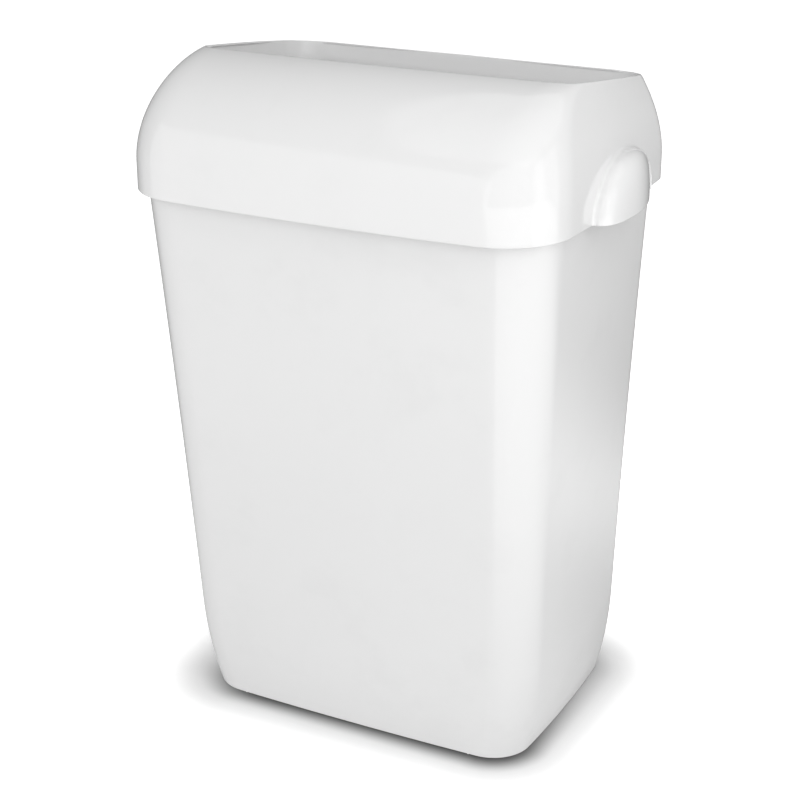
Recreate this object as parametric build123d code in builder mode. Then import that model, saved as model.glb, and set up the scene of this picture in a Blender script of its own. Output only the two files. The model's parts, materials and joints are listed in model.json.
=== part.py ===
from build123d import *
import math
import os

os.makedirs("parts", exist_ok=True)

# Washroom waste bin: a tapered tub, a domed open-topped hood that lifts off it by two
# finger pulls, and a wire bag ring that sits in four clips on the tub's rim.
# Millimetres. +Z is up, the front faces -Y and the flat back stands at +Y. The origin
# is on the floor, under the middle of the overall box.

# Hood, outside, and how far its rim hangs below the tub's
hood_overlap = 17.0
hood_rise = 110.0
hood_back_drop = 23.0
hood_depth = 285.0
hood_half_width = 200.0
hood_front_bow = 8.0
hood_side_bow = 4.4
hood_front_radius = 61.0
hood_rear_radius = 26.0
hood_wall = 2.6

# Opening in the hood's top
mouth_depth = 185.0
mouth_side_margin = 21.5
mouth_front_bow = 9.0
mouth_side_bow = 4.0
mouth_front_radius = 25.0
mouth_rear_radius = 38.0
mouth_lip = 2.8
mouth_front_lip = 1.0

# Dome of the hood: the rise that stays upright, and how far the front arc turns
dome_skirt_rise = 24.0
dome_turn_end = 82.0
dome_turns = [0, 13, 26, 39, 51, 62, 72, dome_turn_end]

# Finger pulls on the hood's sides
pull_from_back = 120.0
pull_half_length = 64.0
pull_height = 47.0
pull_bulge = 19.5
pull_shoulder = 14.0
pull_crown = 15.0
pull_root = 14.0
pull_fall_start = 19.2

# Tub, outside, and how far the hood stands out from its rim
tub_rim_z = 507.0
tub_back_gap = 4.5
tub_side_gap = 6.8
tub_front_gap = 12.5
tub_front_bow = 7.0
tub_side_bow = 3.6
tub_side_hollow = 1.8
tub_front_radius = 48.5
tub_rear_radius = 30.0
tub_wall = 2.8

# Tub at floor level, before its lower edge curls in
base_half_width = 171.5
base_depth = 223.2
base_front_bow = 3.0
base_side_bow = 4.0
base_front_radius = 37.0
base_rear_radius = 27.0
base_curl_height = 86.0
base_curl_side = 10.5
base_curl_front = 3.0
base_rim_z = 0.8
floor_underside_z = 4.5
floor_thickness = 3.2

# Shelf round the tub's front and sides that carries the hood
shelf_reach = 2.2
shelf_thickness = 3.0
shelf_below_rim = 7.0

# Ribs inside the hood that stand on the shelf and, at the back, on the tub's rim
rib_thickness = 2.4
rib_height = 26.0
rib_foot_height = 6.0
rib_clearance = 0.5
rib_front_x = 62.0
rib_side_front = 203.0
rib_side_rear = 44.0
rib_rear_x = 62.0
rib_rear_reach = 6.5
rib_root = 1.3

# Bag ring
wire_radius = 2.5
wire_wall_gap = 5.0
wire_below_rim = 7.0

# Clips that hold the ring on the tub's rim
clip_width = 18.0
clip_leg = 1.4
clip_fit = 0.15
clip_outer_length = 4.8
clip_saddle_depth = 6.0
clip_saddle_lip = 1.9
clip_saddle_bevel = 2.5
clip_x = 112.0
wire_clearance = 0.3

# Wall fixing: two level slots in bosses behind the tub
boss_width = 34.0
boss_height = 18.0
boss_end_flat = 1.6
slot_spacing = 200.0
slot_length = 12.0
slot_width = 6.0
slot_below_rim = 67.0

# Rubber foot pads and their sockets
foot_radius = 10.0
foot_thickness = 4.5
foot_edge = 1.0
foot_socket_clearance = 0.2
foot_socket_wall = 3.0
foot_socket_rim = 1.6
foot_x = 116.0
foot_from_back = 40.0
foot_from_front = 42.0

# Ribs under the floor
floor_rib_thickness = 2.0

mouth_half_width = hood_half_width - mouth_side_margin
tub_half_width = hood_half_width - tub_side_gap
tub_depth = hood_depth - tub_back_gap - tub_front_gap
hood_rim_z = tub_rim_z - hood_overlap
back_y = hood_depth / 2
tub_back_y = back_y - tub_back_gap
shelf_z = tub_rim_z - shelf_below_rim
wire_z = tub_rim_z - wire_below_rim
slot_z = tub_rim_z - slot_below_rim
boss_corner_radius = (boss_height - boss_end_flat) / 2
floor_top_z = floor_underside_z + floor_thickness


def blend(low, high, share):
    """A size part of the way from one value to another."""
    return low + (high - low) * share


def arc_drop(height, total_height, total_in):
    """How far a circular curl has moved in, for a curl that ends upright at its top."""
    if height >= total_height:
        return 0.0
    radius = (total_height**2 + total_in**2) / (2 * total_in)
    return radius - math.sqrt(radius**2 - (total_height - height) ** 2)


def plan_section(
    plane, half_width, back, depth, front_bow, side_bow, front_radius, rear_radius
):
    """A section of the bin: straight back, bowed front and sides, round corners."""
    front = back - depth
    corner_x = half_width - side_bow
    corner_y = front + front_bow
    middle_y = (back + corner_y) / 2
    with BuildSketch(plane) as section:
        with BuildLine():
            Line((-corner_x, back), (corner_x, back))
            ThreePointArc((corner_x, back), (half_width, middle_y), (corner_x, corner_y))
            ThreePointArc((corner_x, corner_y), (0, front), (-corner_x, corner_y))
            ThreePointArc((-corner_x, corner_y), (-half_width, middle_y), (-corner_x, back))
        make_face()
        fillet(section.vertices().group_by(Axis.Y)[0], front_radius)
        fillet(section.vertices().group_by(Axis.Y)[-1], rear_radius)
    return section.sketch


def tub_section(height, inset):
    """The tub's outline at one height, moved in by the inset all round.

    The sides are slightly hollow between floor and rim, along a parabola.
    """
    share = height / tub_rim_z
    hollow = 4 * tub_side_hollow * share * (1 - share)
    curl_side = arc_drop(height, base_curl_height, base_curl_side)
    curl_front = arc_drop(height, base_curl_height, base_curl_front)
    return plan_section(
        Plane.XY.offset(height),
        blend(base_half_width, tub_half_width, share) - hollow - curl_side - inset,
        tub_back_y - inset,
        blend(base_depth, tub_depth, share) - curl_front - 2 * inset,
        blend(base_front_bow, tub_front_bow, share),
        blend(base_side_bow, tub_side_bow, share),
        blend(base_front_radius, tub_front_radius, share) - inset,
        blend(base_rear_radius, tub_rear_radius, share) - inset,
    )


def tub_loft(bottom_z, top_z, inset):
    """The tub's solid form between two heights: a curled foot under a long taper."""
    curl = [blend(bottom_z, base_curl_height, step / 4) for step in range(5)]
    taper = [blend(base_curl_height, top_z, step / 2) for step in range(3)]
    with BuildPart() as form:
        loft([tub_section(height, inset) for height in curl])
        loft([tub_section(height, inset) for height in taper])
    return form.part


def tub_band(bottom_z, top_z, outer_inset, inner_inset):
    """A band round the tub's wall between two insets."""
    heights = (bottom_z, top_z)
    with BuildPart() as band:
        loft([tub_section(height, outer_inset) for height in heights])
        loft([tub_section(height, inner_inset) for height in heights], mode=Mode.SUBTRACT)
    return band.part


def skirt_section(height, inset):
    """The hood's upright skirt at one height."""
    return plan_section(
        Plane.XY.offset(height),
        hood_half_width - inset,
        back_y - inset,
        hood_depth - 2 * inset,
        hood_front_bow,
        hood_side_bow,
        hood_front_radius - inset,
        hood_rear_radius - inset,
    )


def hood_plane(height, tip):
    """A plane hinged on the hood's back at one height, tipped up towards the front."""
    return Plane(
        origin=(0, back_y, height),
        x_dir=(1, 0, 0),
        z_dir=(0, math.sin(tip), math.cos(tip)),
    )


def dome_section(turn, inset):
    """One section of the dome, on a plane that tips with the mouth as it rises.

    The front is a quarter of an ellipse and turn is the angle along it. The sides lean
    in along a parabola that starts where the skirt ends.
    """
    angle = math.radians(turn)
    turn_end = math.radians(dome_turn_end)
    reach = (hood_depth - mouth_depth) / (1 - math.cos(turn_end))
    dome_rise = (hood_rise - dome_skirt_rise) / math.sin(turn_end)
    rise = dome_skirt_rise + (dome_rise - inset) * math.sin(angle)
    depth = hood_depth - reach + (reach - inset) * math.cos(angle)
    lean = ((rise - dome_skirt_rise) / (hood_rise - dome_skirt_rise)) ** 2
    turned = (1 - math.cos(angle)) / (1 - math.cos(turn_end))
    mix = (lean + turned) / 2
    drop = hood_back_drop * rise / hood_rise
    tip = math.atan2(drop, depth)
    return plan_section(
        hood_plane(hood_rim_z + rise - drop, tip),
        blend(hood_half_width, mouth_half_width, lean) - inset,
        -inset,
        depth / math.cos(tip) - inset,
        blend(hood_front_bow, mouth_front_bow, mix),
        blend(hood_side_bow, mouth_side_bow, mix),
        blend(hood_front_radius, mouth_front_radius, mix) - inset,
        blend(hood_rear_radius, mouth_rear_radius, mix) - inset,
    )


def hood_loft(inset):
    """The hood's solid form: an upright skirt under the dome."""
    skirt_heights = (hood_rim_z, hood_rim_z + dome_skirt_rise / 2)
    with BuildPart() as form:
        skirt = [skirt_section(height, inset) for height in skirt_heights]
        loft(skirt + [dome_section(turn, inset) for turn in dome_turns])
    return form.part


def bowed_side(half_width, bow, length, from_back):
    """How far out a bowed side stands at a distance from the back."""
    half = length / 2
    radius = (half**2 + bow**2) / (2 * bow)
    return half_width - radius + math.sqrt(radius**2 - (from_back - half) ** 2)


def bowed_front(half_length, bow, front, x):
    """Where a bowed front stands at a distance x from the middle."""
    radius = (half_length**2 + bow**2) / (2 * bow)
    return front + radius - math.sqrt(radius**2 - x**2)


def hood_side_x(from_back):
    """The outside of the hood's skirt at a distance from its back."""
    length = hood_depth - hood_front_bow
    return bowed_side(hood_half_width, hood_side_bow, length, from_back)


def finger_pull(wall):
    """The right-hand pull: a flattened half dome on the hood's side, inset by a wall.

    Its outline is spun round the X axis and squashed to the pull's height, so that the
    hood's rim cuts it in half. From a little in front of its middle it falls away towards
    the back along a parabola, which a Bezier of three points draws.
    """
    radius = pull_half_length - wall
    bulge = pull_bulge - wall
    fall_middle = (pull_half_length - pull_fall_start) / 2
    with BuildPart() as dome:
        with BuildSketch(Plane.XY):
            with BuildLine():
                Bezier((0, radius), (pull_shoulder, radius), (bulge, radius - pull_crown), (bulge, 0))
                Polyline((bulge, 0), (-pull_root, 0), (-pull_root, radius), (0, radius))
            make_face()
        revolve(axis=Axis.X)
        split(bisect_by=Plane.XY)
        scale(by=(1, 1, (pull_height - wall) / radius))
        with BuildSketch(Plane.XY):
            with BuildLine():
                Bezier((bulge, -pull_fall_start), (bulge, fall_middle), (-wall, pull_half_length))
                Polyline(
                    (-wall, pull_half_length),
                    (-pull_root, pull_half_length),
                    (-pull_root, -pull_half_length),
                    (bulge, -pull_half_length),
                    (bulge, -pull_fall_start),
                )
            make_face()
        extrude(amount=pull_height, mode=Mode.INTERSECT)
    side_x = hood_side_x(pull_from_back)
    return dome.part.moved(Location((side_x, back_y - pull_from_back, hood_rim_z)))


def wall_plane(x, y, inward):
    """An upright plane through a wall: its x runs inwards and its y upwards."""
    across = Vector(inward).cross(Vector(0, 0, 1))
    return Plane(origin=(x, y, 0), x_dir=inward, z_dir=across)


def hood_rib(plane, foot_z, width):
    """A rib inside the hood, from its wall inwards, standing on its foot.

    The plane stands at the inner face of the hood's wall.
    """
    with BuildPart() as rib:
        with BuildSketch(plane):
            with BuildLine():
                Polyline(
                    (-rib_root, foot_z),
                    (width, foot_z),
                    (width, foot_z + rib_foot_height),
                    (rib_root, foot_z + rib_height),
                    (-rib_root, foot_z + rib_height),
                    close=True,
                )
            make_face()
        extrude(amount=rib_thickness / 2, both=True)
    return rib.part


def wire_loop(radius):
    """A round bar that follows the tub's inside just below its rim."""
    route = tub_section(wire_z, tub_wall + wire_wall_gap).face().outer_wire()
    with BuildPart() as loop:
        with BuildSketch(Plane(origin=route @ 0, z_dir=route % 0)):
            Circle(radius)
        sweep(path=route)
    return loop.part


def ring_clip(plane, lean):
    """A clip that straddles the tub's rim, with a half-round saddle for the ring.

    The plane stands at the outer face of the tub's rim. The legs lean with the wall.
    """
    wall_in = tub_wall + clip_fit
    wire_in = tub_wall + wire_wall_gap
    saddle_in = wire_in + wire_radius + wire_clearance + clip_saddle_lip
    outer_foot_z = tub_rim_z - clip_outer_length
    saddle_foot_z = wire_z - clip_saddle_depth
    outline = [
        (-clip_fit - clip_leg, outer_foot_z),
        (-clip_fit - clip_leg, tub_rim_z + clip_leg),
        (wall_in + clip_leg, tub_rim_z + clip_leg),
        (wall_in + clip_leg, wire_z),
        (saddle_in, wire_z),
        (saddle_in, saddle_foot_z + clip_saddle_bevel),
        (saddle_in - clip_saddle_bevel, saddle_foot_z),
        (wall_in, saddle_foot_z),
        (wall_in, outer_foot_z),
    ]
    with BuildPart() as clip:
        with BuildSketch(plane):
            with BuildLine():
                Polyline(*[(x + lean * (tub_rim_z - z), z) for x, z in outline], close=True)
            make_face()
        extrude(amount=clip_width / 2, both=True)
        band_bottom_z = saddle_foot_z - clip_leg
        add(tub_band(band_bottom_z, tub_rim_z, -clip_fit, tub_wall + clip_fit), mode=Mode.SUBTRACT)
        add(wire_loop(wire_radius + wire_clearance), mode=Mode.SUBTRACT)
    return clip.part


# Tub: one moulding, with its shelf, wall bosses, foot sockets and floor ribs
base_front_y = tub_back_y - base_depth + base_curl_front
foot_rear_y = tub_back_y - foot_from_back
foot_front_y = base_front_y + foot_from_front
foot_places = {
    "foot_front_left": (-foot_x, foot_front_y),
    "foot_front_right": (foot_x, foot_front_y),
    "foot_rear_left": (-foot_x, foot_rear_y),
    "foot_rear_right": (foot_x, foot_rear_y),
}
socket_radius = foot_radius + foot_socket_clearance

with BuildPart() as shelf:
    add(tub_band(shelf_z - shelf_thickness, shelf_z, -shelf_reach, tub_wall / 2))
    split(bisect_by=Plane.XZ.offset(-(tub_back_y - tub_wall)), keep=Keep.TOP)

with BuildPart() as floor_ribs:
    with BuildSketch(Plane.XY.offset(base_rim_z)):
        for x in (-foot_x, 0, foot_x):
            with Locations((x, (foot_front_y + foot_rear_y) / 2)):
                Rectangle(floor_rib_thickness, base_depth)
        for y in (foot_front_y, foot_rear_y):
            with Locations((0, y)):
                Rectangle(2 * base_half_width, floor_rib_thickness)
    extrude(amount=floor_underside_z - base_rim_z)
    with BuildSketch(Plane.XY.offset(foot_socket_rim)):
        with Locations(*foot_places.values()):
            Circle(socket_radius + foot_socket_wall)
    extrude(amount=floor_underside_z - foot_socket_rim)
    add(tub_section(base_rim_z, tub_wall / 2))
    extrude(amount=floor_underside_z - base_rim_z, mode=Mode.INTERSECT)

with BuildPart() as tub:
    add(tub_loft(base_rim_z, tub_rim_z, 0))
    add(tub_loft(floor_top_z, tub_rim_z, tub_wall), mode=Mode.SUBTRACT)
    add(tub_section(base_rim_z, tub_wall))
    extrude(amount=floor_underside_z - base_rim_z, mode=Mode.SUBTRACT)
    add(floor_ribs.part)
    add(shelf.part)
    with BuildSketch(Plane.XY.offset(base_rim_z)):
        with Locations(*foot_places.values()):
            Circle(socket_radius)
    extrude(amount=floor_underside_z - base_rim_z, mode=Mode.SUBTRACT)
    with BuildSketch(Plane.XZ.offset(-back_y)):
        with Locations((-slot_spacing / 2, slot_z), (slot_spacing / 2, slot_z)):
            RectangleRounded(boss_width, boss_height, boss_corner_radius)
    extrude(amount=tub_back_gap + tub_wall / 2)
    with BuildSketch(Plane.XZ.offset(-back_y)):
        with Locations((-slot_spacing / 2, slot_z), (slot_spacing / 2, slot_z)):
            SlotOverall(slot_length, slot_width)
    extrude(amount=tub_back_gap + 2 * tub_wall, mode=Mode.SUBTRACT)

tub.part.label = "tub"
export_step(tub.part, "parts/tub.step")

# Hood: the dome, its two finger pulls, the mouth and the ribs that stand on the tub
mouth_tip = math.atan2(hood_back_drop, mouth_depth)
mouth_plane = hood_plane(hood_rim_z + hood_rise - hood_back_drop, mouth_tip)

hood_front_y = back_y - hood_depth
tub_front_y = tub_back_y - tub_depth
hood_front_chord = hood_half_width - hood_side_bow
tub_front_chord = tub_half_width - tub_side_bow
tub_side_length = tub_depth - tub_front_bow

hood_ribs = []
for side in (-1, 1):
    x = side * rib_front_x
    hood_y = bowed_front(hood_front_chord, hood_front_bow, hood_front_y, x) + hood_wall
    tub_y = bowed_front(tub_front_chord, tub_front_bow, tub_front_y, x)
    plane = wall_plane(x, hood_y, (0, 1, 0))
    hood_ribs.append(hood_rib(plane, shelf_z, tub_y - hood_y - rib_clearance))
    plane = wall_plane(side * rib_rear_x, back_y - hood_wall, (0, -1, 0))
    hood_ribs.append(hood_rib(plane, tub_rim_z, rib_rear_reach))
    for from_back in (rib_side_rear, rib_side_front):
        hood_x = hood_side_x(from_back) - hood_wall
        tub_from_back = from_back - tub_back_gap
        tub_x = bowed_side(tub_half_width, tub_side_bow, tub_side_length, tub_from_back)
        plane = wall_plane(side * hood_x, back_y - from_back, (-side, 0, 0))
        hood_ribs.append(hood_rib(plane, shelf_z, hood_x - tub_x - rib_clearance))

with BuildPart() as hood:
    add(hood_loft(0))
    add(finger_pull(0))
    mirror(finger_pull(0), about=Plane.YZ)
    add(hood_loft(hood_wall), mode=Mode.SUBTRACT)
    add(finger_pull(hood_wall), mode=Mode.SUBTRACT)
    mirror(finger_pull(hood_wall), about=Plane.YZ, mode=Mode.SUBTRACT)
    add(
        plan_section(
            mouth_plane,
            mouth_half_width - mouth_lip,
            -mouth_lip,
            mouth_depth / math.cos(mouth_tip) - mouth_lip - mouth_front_lip,
            mouth_front_bow,
            mouth_side_bow,
            mouth_front_radius - mouth_lip,
            mouth_rear_radius - mouth_lip,
        )
    )
    extrude(amount=2 * hood_wall, both=True, mode=Mode.SUBTRACT)
    add(hood_ribs)

hood.part.label = "hood"
export_step(hood.part, "parts/hood.step")

# Bag ring: one closed wire loop
with BuildPart() as bag_ring:
    add(wire_loop(wire_radius))

bag_ring.part.label = "bag_ring"
export_step(bag_ring.part, "parts/bag_ring.step")

# Ring clips: two on the front wall, square to its bow, and two on the flat back wall
tub_front_radius_of_bow = (tub_front_chord**2 + tub_front_bow**2) / (2 * tub_front_bow)
tub_front_lean = (tub_depth - base_depth) / tub_rim_z
clip_turn = math.asin(clip_x / tub_front_radius_of_bow)
clip_front_y = bowed_front(tub_front_chord, tub_front_bow, tub_front_y, clip_x)

for side, side_name in ((-1, "left"), (1, "right")):
    inward = (-side * math.sin(clip_turn), math.cos(clip_turn), 0)
    front_plane = wall_plane(side * clip_x, clip_front_y, inward)
    rear_plane = wall_plane(side * clip_x, tub_back_y, (0, -1, 0))
    for place, plane, lean in (("front", front_plane, tub_front_lean), ("rear", rear_plane, 0)):
        with BuildPart() as clip:
            add(ring_clip(plane, lean))
        clip.part.label = f"ring_clip_{place}_{side_name}"
        export_step(clip.part, f"parts/ring_clip_{place}_{side_name}.step")

# Feet: rubber pads pressed into the sockets under the floor
for name, (x, y) in foot_places.items():
    with BuildPart() as foot:
        with BuildSketch(Plane.XY):
            with Locations((x, y)):
                Circle(foot_radius)
        extrude(amount=foot_thickness)
        chamfer(foot.edges().group_by(Axis.Z)[0], foot_edge)
    foot.part.label = name
    export_step(foot.part, f"parts/{name}.step")
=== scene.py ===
import json
import math

import bpy
import numpy as np
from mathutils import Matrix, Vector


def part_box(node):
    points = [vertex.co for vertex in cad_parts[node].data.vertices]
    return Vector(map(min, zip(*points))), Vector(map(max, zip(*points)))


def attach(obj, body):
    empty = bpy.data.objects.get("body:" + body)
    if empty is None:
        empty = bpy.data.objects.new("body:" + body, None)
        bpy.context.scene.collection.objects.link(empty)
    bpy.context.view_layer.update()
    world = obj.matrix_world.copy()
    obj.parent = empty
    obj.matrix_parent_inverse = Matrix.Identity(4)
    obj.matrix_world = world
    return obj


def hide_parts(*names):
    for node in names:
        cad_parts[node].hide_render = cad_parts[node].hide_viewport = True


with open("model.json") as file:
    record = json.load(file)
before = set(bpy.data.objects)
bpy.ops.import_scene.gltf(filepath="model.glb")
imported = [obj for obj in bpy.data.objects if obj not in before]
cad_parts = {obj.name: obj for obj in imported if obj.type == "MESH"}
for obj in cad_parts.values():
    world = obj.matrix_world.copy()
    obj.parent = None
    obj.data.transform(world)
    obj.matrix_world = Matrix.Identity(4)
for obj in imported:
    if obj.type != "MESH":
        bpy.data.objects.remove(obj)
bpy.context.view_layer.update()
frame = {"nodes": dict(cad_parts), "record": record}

mm = 0.001

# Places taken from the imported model
hood_low, hood_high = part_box("hood")
tub_low, tub_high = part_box("tub")
foot_low, foot_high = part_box("foot_front_right")
hood_rim_z = hood_low.z
hood_rise = hood_high.z - hood_low.z
tub_rim_z = tub_high.z
base_rim_z = tub_low.z
back_y = tub_high.y

# Hood
hood_back_drop = 23 * mm
hood_depth = 285 * mm
hood_half_width = 200 * mm
hood_front_bow = 8 * mm
hood_side_bow = 4.4 * mm
hood_front_radius = 61 * mm
hood_rear_radius = 26 * mm
hood_wall = 2.6 * mm
hood_edge = 0.9 * mm

# Mouth of the hood
mouth_depth = 185 * mm
mouth_half_width = 178.5 * mm
mouth_front_bow = 9 * mm
mouth_side_bow = 4 * mm
mouth_front_radius = 25 * mm
mouth_rear_radius = 33 * mm
mouth_edge = 1.0 * mm
mouth_edge_fade = 12

# Flange that hangs from the mouth's edge and opens upwards
flange_drop = 20 * mm
flange_wall = 1.4 * mm
flange_slope = math.tan(math.radians(18))
flange_start = (0.4 * mm, 2.6 * mm)

# Dome of the hood
dome_skirt_rise = 24 * mm
dome_turn_end = math.radians(82)
side_search_end = 0.8

# Finger pulls
pull_y = back_y - 120 * mm
pull_half_length = 64 * mm
pull_height = 47 * mm
pull_bulge = 19.5 * mm
pull_shoulder = 14 * mm
pull_crown = 15 * mm
pull_root_round = 3 * mm
pull_side_x = 199.9 * mm
pull_fall_start = 0.3
pull_foot_fade = 6
pull_crowding = 1.4
pull_border_side = 11 * mm
pull_border_top = 10 * mm

# Tub
tub_back_y = back_y - 4.5 * mm
tub_half_width = 193.2 * mm
tub_depth = 268 * mm
tub_front_bow = 7 * mm
tub_side_bow = 3.6 * mm
tub_side_hollow = 1.8 * mm
tub_front_radius = 48.5 * mm
tub_rear_radius = 30 * mm
tub_wall = 2.8 * mm
tub_edge = 1.2 * mm
base_half_width = 171.5 * mm
base_depth = 223.2 * mm
base_front_bow = 3 * mm
base_side_bow = 4 * mm
base_front_radius = 37 * mm
base_rear_radius = 27 * mm
base_curl_height = 86 * mm
base_curl_side = 10.5 * mm
base_curl_front = 3 * mm
base_edge = 0.8 * mm
floor_underside_z = 4.5 * mm
floor_top_z = 7.7 * mm
floor_corner = 4 * mm
underside_corner = 1 * mm
shelf_z = tub_rim_z - 7 * mm
shelf_thickness = 3 * mm
shelf_reach = 2.2 * mm
shelf_edge = 0.6 * mm

# Ribs inside the hood: places along the front, the back and the side, and their outline
rib_thickness = 2.4 * mm
rib_height = 26 * mm
rib_foot_height = 6 * mm
rib_clearance = 0.5 * mm
rib_front_x = 62 * mm
rib_rear_x = 62 * mm
rib_side_y = (back_y - 44 * mm, back_y - 203 * mm)
rib_rear_reach = 6.5 * mm
rib_root = 1.3 * mm
bar_edge = 0.3 * mm

# Wall bosses and their slots
boss_x = 100 * mm
boss_z = tub_rim_z - 67 * mm
boss_half = (17 * mm, 9 * mm)
boss_corner = 8.2 * mm
boss_edge = 0.6 * mm
boss_root_round = 1.0 * mm
slot_half = (6 * mm, 3 * mm)
slot_edge = 0.4 * mm
boss_border = 5 * mm
boss_block_half = 20 * mm

# Bag ring and its clips
wire_radius = 2.5 * mm
wire_inset = 7.8 * mm
wire_z = tub_rim_z - 7 * mm
weld_rise = 0.35 * mm
weld_spread = 1.2 * mm
clip_x = 112 * mm
clip_width = 18 * mm
clip_leg = 1.4 * mm
clip_fit = 0.15 * mm
clip_outer_foot_z = tub_rim_z - 4.8 * mm
clip_saddle_foot_z = wire_z - 6 * mm
clip_groove = 2.8 * mm
clip_saddle_in = 12.5 * mm
clip_bevel = 2.5 * mm

# Foot pads, their sockets and the ribs under the floor
foot_radius = (foot_high.x - foot_low.x) / 2
foot_edge = 1 * mm
foot_x = (foot_high.x + foot_low.x) / 2
foot_rear_y = tub_back_y - 40 * mm
foot_front_y = (foot_high.y + foot_low.y) / 2
socket_inside = 10.2 * mm
socket_outside = 13.2 * mm
socket_rim_z = 1.6 * mm
floor_rib_thickness = 2 * mm

# Columns of points round half an outline: back, rear corner, side, front corner, front
back_columns = 40
rear_corner_columns = 14
side_columns = 48
front_corner_columns = 24
front_columns = 32

# Rows of points up the hood, over a finger pull, up the tub's outside and inside, round the
# ring's wire and a clip's groove, and columns round a spun piece
skirt_rows = 8
dome_rows = 56
pull_side_rows = 8
pull_fillet_rows = 6
pull_dome_rows = 30
curl_rows = 14
taper_rows = 25
boss_rows = 14
rim_rows = 4
inner_curl_rows = 11
wire_rows = 24
groove_rows = 12
spin_columns = 48

# How closely places are worked out and points are welded, and how square a lip is
halvings = 40
weld_distance = 0.001 * mm
same_place = 0.01 * mm
lip_power = 0.7


def blend(low, high, share):
    """A value part of the way from one to another."""
    return low + (high - low) * share


def half_outline(half_width, back, depth, front_bow, side_bow, front_radius, rear_radius):
    """Right half of a plan outline, from the middle of the back to the middle of the front.

    The back is a straight line. The side and the front are arcs of large circles with the
    given bows, and a fillet's centre lies one fillet radius inside both lines it joins.
    Each size is one value for each row; the points come out as rows by columns by x and y.
    """
    front = back - depth
    corner_x = half_width - side_bow
    corner_y = front + front_bow
    half_chord = (back - corner_y) / 2
    side_circle = (half_chord**2 + side_bow**2) / (2 * side_bow)
    side_x = half_width - side_circle
    side_y = (back + corner_y) / 2
    front_circle = (corner_x**2 + front_bow**2) / (2 * front_bow)
    front_y = front + front_circle

    rear_y = back - rear_radius
    rear_x = side_x + np.sqrt((side_circle - rear_radius) ** 2 - (rear_y - side_y) ** 2)

    apart = np.hypot(side_x, front_y - side_y)
    to_side = side_circle - front_radius
    to_front = front_circle - front_radius
    along = (to_side**2 - to_front**2 + apart**2) / (2 * apart)
    across = np.sqrt(to_side**2 - along**2)
    unit_x = -side_x / apart
    unit_y = (front_y - side_y) / apart
    fillet_x = side_x + along * unit_x + across * unit_y
    fillet_y = side_y + along * unit_y - across * unit_x

    quarter = math.pi / 2
    rear_turn = np.arctan2(rear_y - side_y, rear_x - side_x)
    side_turn = np.arctan2(fillet_y - side_y, fillet_x - side_x)
    front_turn = np.arctan2(fillet_y - front_y, fillet_x)
    stretches = (
        (rear_corner_columns, rear_x, rear_y, rear_radius, quarter, rear_turn),
        (side_columns, side_x, side_y, side_circle, rear_turn, side_turn),
        (front_corner_columns, fillet_x, fillet_y, front_radius, side_turn, front_turn),
        (front_columns, 0, front_y, front_circle, front_turn, -quarter),
    )
    share = np.linspace(0, 1, back_columns + 1)
    xs = [rear_x * share]
    ys = [back + 0 * xs[0]]
    for count, centre_x, centre_y, radius, start, end in stretches:
        turn = blend(start, end, np.arange(1, count + 1) / count)
        xs.append(centre_x + radius * np.cos(turn))
        ys.append(centre_y + radius * np.sin(turn))
    points = np.stack([np.concatenate(xs, axis=1), np.concatenate(ys, axis=1)], axis=-1)
    points[:, [0, -1], 0] = 0
    return points


def unit(vectors):
    """Vectors made one long."""
    return vectors / np.linalg.norm(vectors, axis=-1, keepdims=True)


def away(points):
    """Unit normals of a grid of points, pointing out of the bin."""
    columns = np.linalg.norm(np.diff(points[len(points) // 2], axis=0), axis=1)
    rows = np.linalg.norm(np.diff(points[:, -1], axis=0), axis=1)
    across = np.gradient(points, np.concatenate([[0], np.cumsum(columns)]), axis=1)
    upward = np.gradient(points, np.concatenate([[0], np.cumsum(rows)]), axis=0)
    normal = np.cross(upward, across)
    normal[:, [0, -1], 0] = 0
    return unit(normal)


def edge_round(outer, inner, direction, reach, steps=8):
    """A rounded lip from one line of points to another.

    Half a superellipse: its width is the gap between the lines and its height the reach.
    """
    turn = np.linspace(0, math.pi, steps + 1)[:, None, None]
    sideways = np.sign(np.cos(turn)) * np.abs(np.cos(turn)) ** lip_power
    lift = np.abs(np.sin(turn)) ** lip_power
    middle = (outer + inner) / 2
    grid = middle + (outer - inner) / 2 * sideways + np.asarray(direction) * reach * lift
    grid[0] = outer
    grid[-1] = inner
    return grid


def flipped(grids):
    """The mirror image of a piece's grids on the bin's other side."""
    return [(points * (-1, 1, 1), not turned) for points, turned in grids]


def both(grids):
    """A right half's grids with their mirror image."""
    return grids + flipped(grids)


def make_piece(name, grids, sharp=40):
    """One mesh from grids of points, each with True where its faces turn over.

    Points that meet are welded, and quads with two corners in one place become triangles.
    """
    corners, quads, start = [], [], 0
    for points, turned in grids:
        rows, columns = points.shape[:2]
        index = np.arange(rows * columns).reshape(rows, columns)
        faces = np.stack([index[:-1, :-1], index[1:, :-1], index[1:, 1:], index[:-1, 1:]], -1)
        faces = faces.reshape(-1, 4)
        corners.append(points.reshape(-1, 3))
        quads.append(start + (faces[:, ::-1] if turned else faces))
        start += rows * columns
    corners = np.concatenate(corners)
    keys = np.round(corners / weld_distance).astype(np.int64)
    _, first, place = np.unique(keys, axis=0, return_index=True, return_inverse=True)
    quads = place.reshape(-1)[np.concatenate(quads)]
    same = quads == np.roll(quads, -1, axis=1)
    faces = quads[same.sum(1) == 0].tolist()
    for corner in range(4):
        short = quads[same[:, corner] & (same.sum(1) == 1)]
        faces += np.delete(short, corner, axis=1).tolist()
    mesh = bpy.data.meshes.new(name)
    mesh.from_pydata(corners[first].tolist(), [], faces)
    mesh.shade_smooth()
    mesh.set_sharp_from_angle(angle=math.radians(sharp))
    piece = bpy.data.objects.new(name, mesh)
    bpy.context.scene.collection.objects.link(piece)
    return piece


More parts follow.
